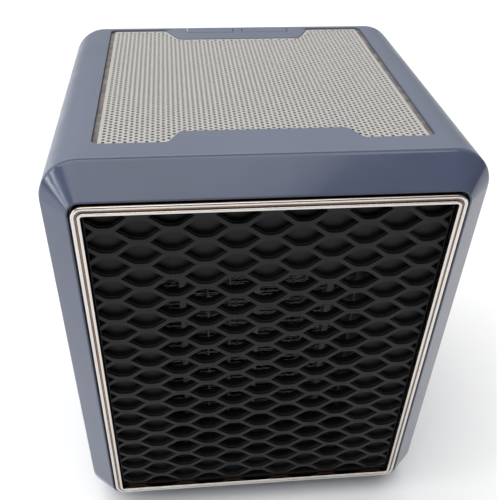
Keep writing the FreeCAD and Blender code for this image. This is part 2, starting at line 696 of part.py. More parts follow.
def stator_core():
    core = new_body("stator_core")
    stack = new_sketch(core, "XZ_Plane")
    outline(stack, [("-core_half_width", "-core_bottom"), ("core_half_width", "-core_bottom"),
                    ("core_half_width", "core_top", 8), ("-core_half_width", "core_top", 8)])
    circle(stack, 0, 0, "rotor_radius + air_gap")
    rectangle(stack, 38, 11, None, 0, -22.5)
    for side in (-1, 1):
        circle(stack, f"{side} * motor_screw_x", 0, "motor_bolt_clearance")
    pad(core, stack, "core_depth", reverse=True)
    return place(core, y="core_front", z="duct_centre")


def stator_coil():
    """The winding round the core's lower leg, between two bobbin cheeks."""
    low = "duct_centre - core_bottom"
    rear = "core_front + core_depth"
    winding = box_at("coil_block", -15, "core_front - 7", f"{low} - 8", 30, "core_depth + 14", 26)
    leg = box_at("coil_leg_space", -16, "core_front - 0.8", f"{low} - 0.8", 32, "core_depth + 1.6", 11.6)
    coil = cut("coil_winding", winding, leg)
    rounded = doc.addObject("Part::Fillet", "coil_rounded")
    rounded.Base = coil
    doc.recompute()
    corners = [index for index, edge in enumerate(coil.Shape.Edges, start=1)
               if is_outer_coil_edge(edge, number("core_front - 7"), number(f"{rear} + 7"))]
    rounded.Edges = [(index, 4, 4) for index in corners]
    fixed("stator_coil", rounded)
    cheeks = []
    for index, x in enumerate((-17, 15.2)):
        cheek = box_at(f"cheek_{index}", x, "core_front - 8", f"{low} - 9", 1.8, "core_depth + 16", 27.6)
        space = box_at(f"cheek_space_{index}", x - 1, "core_front - 0.3", f"{low} - 0.3", 4,
                       "core_depth + 0.6", 10.6)
        cheeks.append(cut(f"bobbin_cheek_{index}", cheek, space))
    fixed("coil_bobbin", group("bobbin_pair", cheeks))


def is_outer_coil_edge(edge, low, high):
    """An edge along X on the winding's outside."""
    ends = [vertex.Point for vertex in edge.Vertexes]
    along_x = abs(ends[0].y - ends[1].y) < 1e-6 and abs(ends[0].z - ends[1].z) < 1e-6
    return along_x and min(abs(ends[0].y - low), abs(ends[0].y - high)) < 1e-6


def motor_bracket(name, y, rear):
    """A die-cast end bracket: strip, bearing seat and two spacers towards the core."""
    bracket = new_body(name)
    strip = new_sketch(bracket, "XZ_Plane")
    rectangle(strip, 60, 18, 8)
    pad(bracket, strip, 2.5, reverse=True)
    seat = new_sketch(bracket, "XZ_Plane", -1.25)
    circle(seat, 0, 0, "bearing_radius + 3")
    pad(bracket, seat, "bearing_length", centred=True)
    spacers = new_sketch(bracket, "XZ_Plane", -1.25)
    for side in (-1, 1):
        circle(spacers, f"{side} * motor_screw_x", 0, 4.5)
    pad(bracket, spacers, 8.7, reverse=not rear)
    holes = new_sketch(bracket, "XZ_Plane")
    circle(holes, 0, 0, "bearing_radius + 0.02")
    for side in (-1, 1):
        circle(holes, f"{side} * motor_screw_x", 0, "motor_bolt_clearance")
    pocket(bracket, holes, 40, centred=True)
    return place(bracket, y=y, z="duct_centre")


def motor_parts():
    motor_bracket("motor_front_bracket", "strap_rear + 0.01", rear=False)
    motor_bracket("motor_rear_bracket", "core_front + core_depth + 7.5", rear=True)
    seats = ("strap_rear + 1.26", "core_front + core_depth + 8.75")
    bushes = [ring_at(f"bush_{index}", f"{seat} - bearing_length / 2", "bearing_radius",
                      "shaft_radius + bearing_clearance", "bearing_length")
              for index, seat in enumerate(seats)]
    fixed("motor_bearings", group("bush_pair", bushes))
    under_head = "strap_rear - strap_thickness"
    screws = []
    for index, side in enumerate((-1, 1)):
        x = f"{side} * motor_screw_x"
        head = cylinder_at(f"motor_screw_head_{index}", x, f"{under_head} - 2.6", "duct_centre",
                           3.6, 2.5, "y")
        rod = cylinder_at(f"motor_screw_rod_{index}", x, f"{under_head} - 0.5", "duct_centre", 2, 44, "y")
        nut = cylinder_at(f"motor_nut_{index}", x, "core_front + core_depth + 10.1", "duct_centre",
                          3.6, 3, "y")
        screws.append(fuse(f"motor_screw_{index}", [head, rod, nut]))
    fixed("motor_screws", group("motor_screw_pair", screws))


def motor_strap():
    strap = new_body("motor_strap")
    band = new_sketch(strap, "XY_Plane")
    foot, leg, thick = "foot_half_span", "strap_half_span", "strap_thickness"
    near, far = "deck_front + deck_thickness + 0.1", "strap_rear"
    half = [(foot, near), (foot, f"{near} + {thick}"), (leg, f"{near} + {thick}"), (leg, far)]
    inside = [(f"{leg} - {thick}", f"{far} - {thick}"), (f"{leg} - {thick}", near)]
    outline(band, half + [(f"-({x})", y) for x, y in reversed(half)]
            + [(f"-({x})", y) for x, y in reversed(inside)] + inside)
    pad(strap, band, "strap_width", centred=True)
    holes = new_sketch(strap, "XZ_Plane")
    circle(holes, 0, 0, "bearing_radius + 3.3")
    for side in (-1, 1):
        circle(holes, f"{side} * motor_screw_x", 0, "motor_bolt_clearance")
        for level in (-1, 1):
            circle(holes, f"{side} * strap_screw_x", f"{level} * strap_screw_rise", 1.8)
    pocket(strap, holes, 120, centred=True)
    return place(strap, z="duct_centre")


# ---------------------------------------------------------------- push buttons and switches

def push_button(name, side):
    """A cap that follows the housing's top and rear bevel, with a stem over its switch."""
    button = new_body(name)
    top = "body_height / 2"
    slope = "rear_bevel_inset / rear_bevel_depth"
    edge = "half_depth - rear_bevel_depth"
    end_z = f"{top} - (button_rear - ({edge})) * {slope}"
    cap = new_sketch(button, "YZ_Plane")
    outline(cap, [("button_front", top), (edge, top, "rear_edge_radius"), ("button_rear", end_z),
                  ("button_rear", f"{end_z} - 3.2"),
                  (f"{edge} - 1", f"{top} - button_wall", "rear_edge_radius - 2.4"),
                  ("button_front", f"{top} - button_wall")])
    pad(button, cap, "button_width", centred=True)
    stem = new_sketch(button, "XY_Plane", f"{top} - button_wall - stem_length")
    circle(stem, 0, "stem_y", "stem_radius")
    pad(button, stem, "stem_length + 0.5")
    return place(button, x=f"{side} * button_offset", z=FACE_Z)


def button_spring(name, side):
    """A coil spring round the stem, between the switch bracket and the cap."""
    low = number("bracket_z + bracket_thickness + 0.5")
    high = number(f"{FACE_Z} + body_height / 2 - button_wall - 0.5")
    radius, turns = number("spring_radius"), number("spring_turns")
    steps = 16 * int(turns)
    bends = [VECTOR(radius * math.cos(2 * math.pi * turns * step / steps),
                    radius * math.sin(2 * math.pi * turns * step / steps),
                    (high - low) * step / steps) for step in range(steps + 1)]
    ring = Part.Wire(Part.makeCircle(number("spring_wire"), bends[0], bends[1] - bends[0]))
    coil = doc.addObject("Part::Feature", name + "_coil")
    coil.Shape = Part.makePolygon(bends).makePipeShell([ring], True, False, 1)
    coil.Placement.Base = VECTOR(side * number("button_offset"), number("stem_y"), low)
    return fixed(name, coil)


def switch_bracket():
    bracket = new_body("switch_bracket")
    plate = new_sketch(bracket, "XY_Plane")
    rectangle(plate, 84, 26, 2, 0, 91)
    for side in (-1, 1):
        circle(plate, f"{side} * button_offset", "stem_y", "stem_radius + 0.35")
    pad(bracket, plate, "bracket_thickness")
    for level, length, reverse in ((1.5, 9.2, False), (0.5, 14.9, True)):
        legs = new_sketch(bracket, "XY_Plane", level)
        for side in (-1, 1):
            rectangle(legs, 3.5, 8, None, f"{side} * 40", 83)
        pad(bracket, legs, length, reverse=reverse)
    return place(bracket, z="bracket_z")


def control_electronics():
    fixed("control_board", box_at("board_sheet", -42, 78, "board_z", 84, 26, "board_thickness"))
    on_board = "board_z + board_thickness + 0.05"
    for name, side in (("power_switch", -1), ("mode_switch", 1)):
        case = box_at(name + "_case", f"{side} * button_offset - switch_side / 2",
                      "stem_y - switch_side / 2", on_board, "switch_side", "switch_side", "switch_height")
        plunger = cylinder_at(name + "_plunger", f"{side} * button_offset", "stem_y",
                              f"{on_board} + switch_height - 0.95", 3.2, 2.6)
        fixed(name, fuse(name + "_body", [case, plunger]))
    fixed("power_relay", box_at("relay_case", 8, 82, 230.7, 19, 16, 15.5))
    fixed("capacitor", cylinder_at("capacitor_can", -18, 90, 224.2, 6.5, 22))
    block = box_at("terminal_case", 40, 70, 8, 44, 18, 14)
    ports = fuse("terminal_ports", [cylinder_at(f"port_{index}", 48 + index * 14, 69, 15, 2.6, 20, "y")
                                    for index in range(3)])
    fixed("terminal_block", cut("terminal_body", block, ports))
    tilt = fuse("tilt_case", [box_at("tilt_block", -90, 40, 8, 26, 22, 20),
                              cylinder_at("tilt_dome", -77, 51, 27.5, 8, 6)])
    fixed("tilt_switch", tilt)


# ---------------------------------------------------------------- wiring

def lead(points, radius):
    """A wire along straight runs joined by tangent arcs."""
    corners = [VECTOR(*point) for point in points]
    edges, start = [], corners[0]
    for before, here, after in zip(corners, corners[1:], corners[2:]):
        back, ahead = before - here, after - here
        reach = 0.45 * min(back.Length, ahead.Length)
        first, last = here + back.normalize() * reach, here + ahead.normalize() * reach
        bisector = ((first + last) / 2 - here).normalize()
        half = back.getAngle(ahead) / 2
        bend = reach * math.tan(half)
        middle = here + bisector * (reach / math.cos(half) - bend)
        edges.append(Part.makeLine(start, first))
        edges.append(Part.Arc(first, middle, last).toShape())
        start = last
    edges.append(Part.makeLine(start, corners[-1]))
    spine = Part.Wire(edges)
    disc = Part.Wire(Part.makeCircle(radius, corners[0], corners[1] - corners[0]))
    return spine.makePipeShell([disc], True, False)


def lead_group(name, routes, radius):
    wiring = doc.addObject("Part::Feature", name + "_set")
    wiring.Shape = Part.makeCompound([lead(route, radius) for route in routes])
    return fixed(name, wiring)


def internal_leads():
    lead_group("mains_leads", [
        [(x, 69.5, 15), (x, 55, 16), (x + lean, 40, 60), (x + lean, 44, 140), (x + lean - 20, 60, 210),
         (30 + lean / 2, 80, 238), (30 + lean / 2, 80, 246)]
        for x, lean in ((48, 34), (62, 26))], 1.2)
    lead_group("heater_leads", [
        [(x, 86, 246), (x, 84, 236), (x, 60, 228), (x, 10, 226), (x, -40, 228)] for x in (-34, -28)], 1.2)
    lead_group("motor_leads", [
        [(x, 84, 246), (x, 80, 236), (x, 60, 200), (x, 34, 140), (x, 24, 96), (x, 19.5, 84)]
        for x in (-6, 6)], 1.0)


# ---------------------------------------------------------------- fasteners

def screw(name, x, y, z, direction, shank, head_radius=3.2):
    """A pan-head screw along Y; its shank runs from the head towards the direction's sign."""
    if direction > 0:
        rod = cylinder_at(name + "_rod", x, y, z, 1.25, shank, "y")
        head = cylinder_at(name + "_head", x, f"({y}) - 1.8", z, head_radius, 1.8, "y")
    else:
        rod = cylinder_at(name + "_rod", x, f"({y}) - {shank}", z, 1.25, shank, "y")
        head = cylinder_at(name + "_head", x, y, z, head_radius, 1.8, "y")
    return fuse(name, [rod, head])


def fasteners():
    cover, deck, strap = [], [], []
    for index, (side, level) in enumerate(((-1, -1), (1, -1), (1, 1), (-1, 1))):
        cover.append(screw(f"cover_screw_{index}", f"{side} * cover_screw_x", f"{COVER_OUTSIDE} + 0.02",
                           f"{FACE_Z} + {level} * cover_screw_z", -1, 14, 3.4))
        deck.append(screw(f"deck_screw_{index}", f"{side} * deck_screw_x", "deck_front - 0.02",
                          f"{FACE_Z} + {level} * deck_screw_z", 1, 12))
        strap.append(screw(f"strap_screw_{index}", f"{side} * strap_screw_x",
                           "deck_front + deck_thickness + 2.12",
                           f"duct_centre + {level} * strap_screw_rise", -1, 5, 2.8))
    fixed("rear_cover_screws", group("cover_screw_set", cover))
    fixed("shroud_screws", group("deck_screw_set", deck))
    fixed("strap_screws", group("strap_screw_set", strap))


# ---------------------------------------------------------------- assembly

main_shell()
front_bezel()
chrome_trim()
top_mesh()
dust_filter()
rear_cover()
rubber_feet()
cord_gland()
front_grille()
outlet_duct()
heater_frame()
mica_supports("heater_posts", ("-post_spacing", "0", "post_spacing"), "post_width", 12)
mica_supports("heater_ribs", ("-rib_outer", "-rib_inner", "rib_inner", "rib_outer"), "rib_thickness", 10)
heating_wire("heating_wire_low", -1)
heating_wire("heating_wire_high", 1)
thermal_cutout()
thermal_fuse()
fan_shroud()
impeller()
motor_shaft()
rotor_parts()
stator_core()
stator_coil()
motor_parts()
motor_strap()
push_button("power_button", -1)
push_button("mode_button", 1)
button_spring("power_button_spring", -1)
button_spring("mode_button_spring", 1)
switch_bracket()
control_electronics()
internal_leads()
fasteners()
doc.recompute()

for item in doc.Objects:
    if "Invalid" in item.State or "Error" in item.State:
        raise RuntimeError(f"{item.Label} failed: {item.State}")

os.makedirs("parts", exist_ok=True)
for part in PARTS:
    shape = part.Shape
    if shape.isNull() or not shape.isValid() or not shape.Solids:
        raise RuntimeError(f"{part.Label} is not a valid solid")
    shape.exportStep(f"parts/{part.Label}.step")
    print(f"{part.Label}: {len(shape.Solids)} solid(s), {shape.Volume / 1000:.1f} cm3")
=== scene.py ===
"""Looks for the cube-shaped box fan heater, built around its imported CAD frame."""
import json
import math
import random

import bmesh
import bpy
from mathutils import Matrix, Vector
from mathutils.geometry import tessellate_polygon


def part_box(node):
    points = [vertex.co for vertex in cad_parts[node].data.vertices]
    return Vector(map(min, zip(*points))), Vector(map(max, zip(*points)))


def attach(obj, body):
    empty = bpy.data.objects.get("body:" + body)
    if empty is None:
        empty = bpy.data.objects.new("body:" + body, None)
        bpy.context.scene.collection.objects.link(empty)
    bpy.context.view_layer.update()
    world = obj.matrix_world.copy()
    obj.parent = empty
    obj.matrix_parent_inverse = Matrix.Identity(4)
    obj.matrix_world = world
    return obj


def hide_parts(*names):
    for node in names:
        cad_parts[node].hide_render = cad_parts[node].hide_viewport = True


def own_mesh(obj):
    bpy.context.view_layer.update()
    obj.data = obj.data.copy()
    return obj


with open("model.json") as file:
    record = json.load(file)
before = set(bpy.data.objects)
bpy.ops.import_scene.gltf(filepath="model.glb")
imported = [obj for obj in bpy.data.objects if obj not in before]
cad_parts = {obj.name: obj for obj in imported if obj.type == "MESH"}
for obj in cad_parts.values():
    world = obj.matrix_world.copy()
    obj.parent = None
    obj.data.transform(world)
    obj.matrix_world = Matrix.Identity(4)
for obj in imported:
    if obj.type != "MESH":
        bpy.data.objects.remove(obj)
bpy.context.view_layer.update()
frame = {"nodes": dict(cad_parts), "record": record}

scene = bpy.context.scene
MM = 0.001


# ---------------------------------------------------------------- node helpers

class Nodes:
    """Short names for building one node tree."""

    def __init__(self, tree):
        self.tree = tree

    def add(self, kind, **inputs):
        node = self.tree.nodes.new(kind)
        for key, value in inputs.items():
            if key in node.bl_rna.properties:
                setattr(node, key, value)
                continue
            position = int(key[2:]) if key.startswith("in") else key.replace("_", " ")
            socket = node.inputs[position]
            if isinstance(value, bpy.types.NodeSocket):
                self.tree.links.new(value, socket)
            else:
                socket.default_value = value
        return node

    def link(self, source, target):
        self.tree.links.new(source, target)

    def math(self, operation, first, second=0.0):
        return self.add("ShaderNodeMath", operation=operation, in0=first, in1=second).outputs[0]

    def ramp(self, factor, stops):
        node = self.tree.nodes.new("ShaderNodeValToRGB")
        elements = node.color_ramp.elements
        while len(elements) < len(stops):
            elements.new(0.5)
        for element, (place, shade) in zip(elements, stops):
            element.position = place
            element.color = shade if len(shade) == 4 else (*shade, 1.0)
        self.link(factor, node.inputs[0])
        return node.outputs[0]

    def noise(self, scale, detail=4.0, stretch=None, roughness=0.55):
        """Noise on the object's own coordinates, in features per metre."""
        coords = self.add("ShaderNodeTexCoord").outputs["Object"]
        if stretch:
            coords = self.add("ShaderNodeMapping", in0=coords, in3=stretch).outputs[0]
        return self.add("ShaderNodeTexNoise", Vector=coords, Scale=scale, Detail=detail,
                        Roughness=roughness).outputs["Fac"]

    def mix(self, factor, first, second):
        """Two colours blended; the mix node's colour sockets are its numbers 6 and 7."""
        return self.add("ShaderNodeMix", data_type="RGBA", in0=factor, in6=first, in7=second).outputs[2]

    def scaled(self, factor, low, high, first, last):
        """The factor's range low to high, carried over to first to last and held at the ends."""
        return self.add("ShaderNodeMapRange", in0=factor, in1=low, in2=high, in3=first,
                        in4=last).outputs[0]

    def rounded_edges(self, radius):
        """A normal that reads each edge as rounded."""
        return self.add("ShaderNodeBevel", samples=4, Radius=radius).outputs[0]


def linear(red, green, blue):
    """An 8-bit screen colour as the linear colour a shader takes."""

    def channel(value):
        value /= 255
        return value / 12.92 if value <= 0.04045 else ((value + 0.055) / 1.055) ** 2.4
    return (channel(red), channel(green), channel(blue), 1.0)


def shaded(colour, factor):
    return (*(min(1.0, part * factor) for part in colour[:3]), 1.0)


def new_material(name):
    material = bpy.data.materials.new(name)
    material.use_nodes = True
    material.node_tree.nodes.clear()
    nodes = Nodes(material.node_tree)
    shader = nodes.add("ShaderNodeBsdfPrincipled")
    output = nodes.add("ShaderNodeOutputMaterial")
    nodes.link(shader.outputs[0], output.inputs["Surface"])
    return material, nodes, shader


def edge_mask(nodes, radius):
    """High along sharp edges: where a rounded normal leaves the true one."""
    true = nodes.add("ShaderNodeNewGeometry").outputs["Normal"]
    dot = nodes.add("ShaderNodeVectorMath", operation="DOT_PRODUCT", in0=nodes.rounded_edges(radius),
                    in1=true).outputs["Value"]
    return nodes.ramp(nodes.math("SUBTRACT", 1.0, dot), [(0.0, (0, 0, 0)), (0.25, (1, 1, 1))])


def moulded_plastic(name, colour, roughness, grain, grain_height, edge=0.6 * MM, wear=0.18,
                    specular=0.5):
    """Moulded plastic: fine texture, slow colour drift, edges rounded and slightly rubbed."""
    material, nodes, shader = new_material(name)
    drift = nodes.noise(14.0, 3.0)
    base = nodes.ramp(drift, [(0.3, shaded(colour, 0.94)), (0.7, shaded(colour, 1.06))])
    rubbed = nodes.math("MULTIPLY", edge_mask(nodes, edge), wear)
    nodes.link(nodes.mix(rubbed, base, shaded(colour, 1.7)), shader.inputs["Base Color"])
    smudge = nodes.noise(45.0, 5.0)
    nodes.link(nodes.scaled(smudge, 0.3, 0.7, roughness - 0.05, roughness + 0.06),
               shader.inputs["Roughness"])
    bump = nodes.add("ShaderNodeBump", Strength=0.35, Distance=grain_height * MM,
                     Height=nodes.noise(grain, 3.0), Normal=nodes.rounded_edges(edge))
    nodes.link(bump.outputs[0], shader.inputs["Normal"])
    shader.inputs["Specular IOR Level"].default_value = specular
    return material


BRUSH_DEPTH = 0.03 * MM


def bare_metal(name, colour, roughness, brush=(1.0, 1.0, 1.0), scale=260.0, tint=0.12,
               edge=0.4 * MM):
    """Metal with brushing along one axis, tarnish and bright edges."""
    material, nodes, shader = new_material(name)
    streak = nodes.noise(scale, 6.0, brush)
    base = nodes.ramp(streak, [(0.3, shaded(colour, 1 - tint)), (0.7, shaded(colour, 1 + tint))])
    bright = nodes.math("MULTIPLY", edge_mask(nodes, edge), 0.5)
    nodes.link(nodes.mix(bright, base, shaded(colour, 1.35)), shader.inputs["Base Color"])
    nodes.link(nodes.scaled(streak, 0.3, 0.7, roughness * 0.8, roughness * 1.25),
               shader.inputs["Roughness"])
    bump = nodes.add("ShaderNodeBump", Strength=0.2, Distance=BRUSH_DEPTH, Height=streak,
                     Normal=nodes.rounded_edges(edge))
    nodes.link(bump.outputs[0], shader.inputs["Normal"])
    shader.inputs["Metallic"].default_value = 1.0
    return material


def plated_trim(name):
    """Bright plating: clean beads either side of a channel painted browner and duller, a painted
    reflection of the floor.
    """
    material, nodes, shader = new_material(name)
    place = nodes.add("ShaderNodeNewGeometry").outputs["Position"]
    depth = nodes.add("ShaderNodeSeparateXYZ", in0=place).outputs["Y"]
    channel = nodes.scaled(depth, TRIM_CHANNEL_Y - 0.35 * MM, TRIM_CHANNEL_Y - 0.1 * MM, 0.0, 1.0)
    haze = nodes.noise(40.0, 3.0)
    bead = nodes.ramp(haze, [(0.3, linear(206, 202, 198)), (0.7, linear(216, 211, 206))])
    # painted reflection: the channel's brown stands in for the floor reflected in it
    painted_reflection = nodes.ramp(haze, [(0.3, linear(112, 92, 82)), (0.7, linear(132, 112, 101))])
    nodes.link(nodes.mix(channel, bead, painted_reflection), shader.inputs["Base Color"])
    nodes.link(nodes.scaled(haze, 0.3, 0.7, 0.08, 0.13), shader.inputs["Roughness"])
    nodes.link(nodes.rounded_edges(0.3 * MM), shader.inputs["Normal"])
    shader.inputs["Metallic"].default_value = 1.0
    return material


# ---------------------------------------------------------------- materials

TRIM_CHANNEL_Y = -0.1149    # the floor of the trim's channel, between its two beads
BLUE_GREY = linear(108, 114, 131)
# the front bezel's grey: the housing's blue grey painted darker, as painted shade on the front faces
BEZEL_SHADED_GREY = linear(74, 82, 105)

materials = {
    "housing_plastic": moulded_plastic("housing_plastic", BLUE_GREY, 0.34, grain=1300.0,
                                       grain_height=0.03, edge=0.7 * MM, wear=0.12),
    "black_plastic": moulded_plastic("black_plastic", linear(19, 20, 21), 0.45, grain=1000.0,
                                     grain_height=0.05, edge=0.5 * MM, wear=0.3, specular=0.25),
    "dark_plastic": moulded_plastic("dark_plastic", linear(36, 37, 40), 0.45, grain=900.0,
                                    grain_height=0.04),
    "white_plastic": moulded_plastic("white_plastic", linear(212, 209, 196), 0.45, grain=700.0,
                                     grain_height=0.03, wear=0.0),
    "lead_insulation": moulded_plastic("lead_insulation", linear(205, 198, 186), 0.35, grain=500.0,
                                       grain_height=0.02, wear=0.0),
    "capacitor_sleeve": moulded_plastic("capacitor_sleeve", linear(38, 44, 60), 0.25, grain=400.0,
                                        grain_height=0.02, wear=0.05),
    "circuit_board": moulded_plastic("circuit_board", linear(38, 98, 62), 0.4, grain=1500.0,
                                     grain_height=0.05, wear=0.3),
    "rubber": moulded_plastic("rubber", linear(34, 34, 35), 0.8, grain=600.0, grain_height=0.08,
                              wear=0.1, specular=0.3),
    "ceramic_white": moulded_plastic("ceramic_white", linear(232, 228, 214), 0.2, grain=300.0,
                                     grain_height=0.02, wear=0.0),
    "filter_felt": moulded_plastic("filter_felt", linear(206, 203, 198), 0.9, grain=2200.0,
                                   grain_height=0.25, wear=0.0, specular=0.1),
    "mica": moulded_plastic("mica", linear(120, 120, 121), 0.5, grain=380.0, grain_height=0.1,
                            edge=0.3 * MM, wear=0.2),
    "chrome": plated_trim("chrome"),
    "mesh_metal": bare_metal("mesh_metal", linear(222, 219, 214), 0.36, scale=700.0, tint=0.06,
                             edge=0.2 * MM),
    "sheet_steel": bare_metal("sheet_steel", linear(150, 150, 150), 0.4, brush=(1.0, 12.0, 1.0),
                              scale=120.0),
    "heating_alloy": bare_metal("heating_alloy", linear(242, 241, 238), 0.5, brush=(1.0, 1.0, 20.0),
                                scale=200.0, tint=0.2),
    "bright_steel": bare_metal("bright_steel", linear(190, 190, 192), 0.28),
    "lamination_steel": bare_metal("lamination_steel", linear(110, 112, 118), 0.45,
                                   brush=(1.0, 60.0, 1.0), scale=60.0, tint=0.3),
    "cast_aluminium": bare_metal("cast_aluminium", linear(186, 187, 190), 0.5, scale=500.0),
    "copper_winding": bare_metal("copper_winding", linear(184, 104, 62), 0.35,
                                 brush=(60.0, 1.0, 1.0), scale=50.0, tint=0.3),
    "bronze": bare_metal("bronze", linear(160, 125, 80), 0.45),
}
# the front bezel: the housing plastic, glossier, with its colour painted darker as painted shade
shaded_bezel_plastic = moulded_plastic("shaded_bezel_plastic", BEZEL_SHADED_GREY, 0.14, grain=1300.0, grain_height=0.008,
                                edge=0.7 * MM, wear=0.08)

mesh_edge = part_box("top_mesh")[1][0]


def mesh_with_border(border):
    """The sheet's metal, with its two plain side borders painted darker and browner: a painted dark
    reflection.
    """
    material = bare_metal("mesh_sheet", linear(190, 188, 184), 0.5, scale=700.0, tint=0.06,
                          edge=0.2 * MM)
    nodes = Nodes(material.node_tree)
    shader = next(node for node in nodes.tree.nodes if node.type == "BSDF_PRINCIPLED")
    place = nodes.add("ShaderNodeTexCoord").outputs["Object"]
    across = nodes.add("ShaderNodeSeparateXYZ", in0=place).outputs["X"]
    ragged = nodes.math("MULTIPLY", nodes.noise(260.0, 3.0), 0.6 * MM)
    reach = nodes.math("ADD", nodes.math("ABSOLUTE", across), ragged)
    mask = nodes.math("GREATER_THAN", reach, mesh_edge - border)
    plain = shader.inputs["Base Color"].links[0].from_socket
    # painted reflection: the borders' darker brown stands in for the darker surroundings they reflect
    painted_reflection = nodes.ramp(nodes.noise(180.0, 4.0),
                       [(0.35, linear(104, 98, 93)), (0.65, linear(140, 133, 128))])
    nodes.link(nodes.mix(mask, plain, painted_reflection), shader.inputs["Base Color"])
    shader.inputs["Metallic"].default_value = 0.25
    return material


slot_of = {entry["node"]: entry["material_slot"] for entry in frame["record"]["subparts"]}
for name, node in frame["nodes"].items():
    node.data.materials.clear()
    node.data.materials.append(shaded_bezel_plastic if name == "front_bezel" else materials[slot_of[name]])


def make_object(name, vertices, faces, material):
    mesh = bpy.data.meshes.new(name)
    mesh.from_pydata(vertices, [], faces)
    mesh.update()
    mesh.materials.append(material)
    thing = bpy.data.objects.new(name, mesh)
    scene.collection.objects.link(thing)
    return thing


# ---------------------------------------------------------------- perforated top mesh

HOLE_COLUMN = 2.8 * MM      # from one column of holes to the next, along X
HOLE_PITCH = 3.2 * MM       # between neighbours in a column, along Y
HOLE_RADIUS = 0.98 * MM
SHEET_THICKNESS = 0.5 * MM
SIDE_MARGIN = 3.0 * MM      # plain border at the left and right
MARGIN_DROP = 0.3 * MM      # how far that border is bent down at its edge
HOLE_CORNERS = 12
OUTLINE_CLEARANCE = 0.05 * MM
# width of the borders' painted dark reflection
PAINTED_BORDER_WIDTH = SIDE_MARGIN - 0.6 * MM


def top_outline(node):
    """The corners of a flat sheet's upper face, in order round it."""
    mesh = bmesh.new()
    mesh.from_mesh(node.data)
    bmesh.ops.remove_doubles(mesh, verts=mesh.verts, dist=1e-6)
    level = max(vertex.co.z for vertex in mesh.verts) - 1e-5
    upper = [face for face in mesh.faces if all(vertex.co.z > level for vertex in face.verts)]
    members = set(upper)
    after = {}
    for face in upper:
        for loop in face.loops:
            if not any(other in members for other in loop.edge.link_faces if other is not face):
                after[loop.vert.index] = loop.link_loop_next.vert.index
    mesh.verts.ensure_lookup_table()
    start = next(iter(after))
    order, here = [start], after[start]
    while here != start:
        order.append(here)
        here = after[here]
    corners = [Vector(mesh.verts[index].co.xy) for index in order]
    mesh.free()
    return corners


def inside(point, corners):
    """Whether a point is within an outline: a line from it crosses the outline an odd number of times."""
    odd = False
    x, y = point
    for index, (x1, y1) in enumerate(corners):
        x2, y2 = corners[index - 1]
        if (y1 > y) != (y2 > y) and x < x1 + (x2 - x1) * (y - y1) / (y2 - y1):
            odd = not odd
    return odd


def mesh_cells(corners):
    """Centres of the six-sided cells that fit inside the outline, between the plain borders."""
    low = Vector((min(c.x for c in corners), min(c.y for c in corners)))
    high = Vector((max(c.x for c in corners), max(c.y for c in corners)))
    columns = int((high.x - low.x - 2 * SIDE_MARGIN) / HOLE_COLUMN) // 2
    rows = int((high.y - low.y) / HOLE_PITCH) + 2
    reach = HOLE_PITCH / 2 + OUTLINE_CLEARANCE
    centres = []
    for column in range(-columns, columns + 1):
        for row in range(rows):
            centre = Vector((column * HOLE_COLUMN, low.y + (row + (column % 2) / 2) * HOLE_PITCH))
            if all(inside(centre + reach * Vector((math.cos(a), math.sin(a))), corners)
                   for a in (math.pi * step / 6 for step in range(12))):
                centres.append((column, row, centre))
    return centres


def build_top_mesh():
    """The sheet with its holes: a lattice of six-sided cells, joined to the sheet's own outline."""
    node = frame["nodes"]["top_mesh"]
    corners = top_outline(node)
    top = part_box("top_mesh")[1][2]
    edge_x = max(corner.x for corner in corners)
    vertices, faces = [], []

    def height(x):
        bend = (abs(x) - (edge_x - SIDE_MARGIN)) / SIDE_MARGIN
        return top - MARGIN_DROP * min(1.0, max(0.0, bend)) ** 1.5

    def pair(x, y):
        """A point on the upper face and the one under it; gives the upper one's number."""
        vertices.append((x, y, height(x)))
        vertices.append((x, y, height(x) - SHEET_THICKNESS))
        return len(vertices) - 2

    def both(face):
        faces.append(face)
        faces.append([index + 1 for index in reversed(face)])

    shared = {}

    def cell_corner(column, row, step, centre):
        """The cell corner at 60 degrees times step, made once for the cells that share it."""
        doubled = 2 * row + column % 2
        across, along = ((2, 0), (1, 1), (-1, 1), (-2, 0), (-1, -1), (1, -1))[step]
        key = (3 * column + across, doubled + along)
        if key not in shared:
            side = HOLE_COLUMN / 3
            shared[key] = pair(centre.x + across * side, centre.y + along * HOLE_PITCH / 2)
        return shared[key]

    cell_edges = []
    for column, row, centre in mesh_cells(corners):
        outer = [cell_corner(column, row, step, centre) for step in range(6)]
        hole = [pair(centre.x + HOLE_RADIUS * math.cos(math.tau * step / HOLE_CORNERS),
                     centre.y + HOLE_RADIUS * math.sin(math.tau * step / HOLE_CORNERS))
                for step in range(HOLE_CORNERS)]
        for step in range(6):
            first, second = outer[step], outer[(step + 1) % 6]
            a, b, c = hole[2 * step], hole[2 * step + 1], hole[(2 * step + 2) % HOLE_CORNERS]
            both([first, second, c, b])
            both([first, b, a])
            cell_edges.append((first, second))
            for near, far in ((a, b), (b, c)):
                faces.append([near, far, far + 1, near + 1])
    paired = set(cell_edges)
    after = {first: second for first, second in cell_edges if (second, first) not in paired}
    start = next(iter(after))
    lattice, here = [start], after[start]
    while here != start:
        lattice.append(here)
        here = after[here]
    rim = [pair(corner.x, corner.y) for corner in corners]
    ring = rim + lattice
    for triangle in tessellate_polygon([[Vector(vertices[index]) for index in rim],
                                        [Vector(vertices[index]) for index in lattice]]):
        a, b, c = (ring[index] for index in triangle)
        p, q, r = (Vector(vertices[index][:2]) for index in (a, b, c))
        both([a, b, c] if (q - p).cross(r - p) > 0 else [a, c, b])
    for index, first in enumerate(rim):
        second = rim[(index + 1) % len(rim)]
        faces.append([second, first, first + 1, second + 1])
    sheet = make_object("perforated_mesh", vertices, faces, mesh_with_border(PAINTED_BORDER_WIDTH))
    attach(sheet, "housing")
    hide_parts("top_mesh")


# ---------------------------------------------------------------- heating ribbons

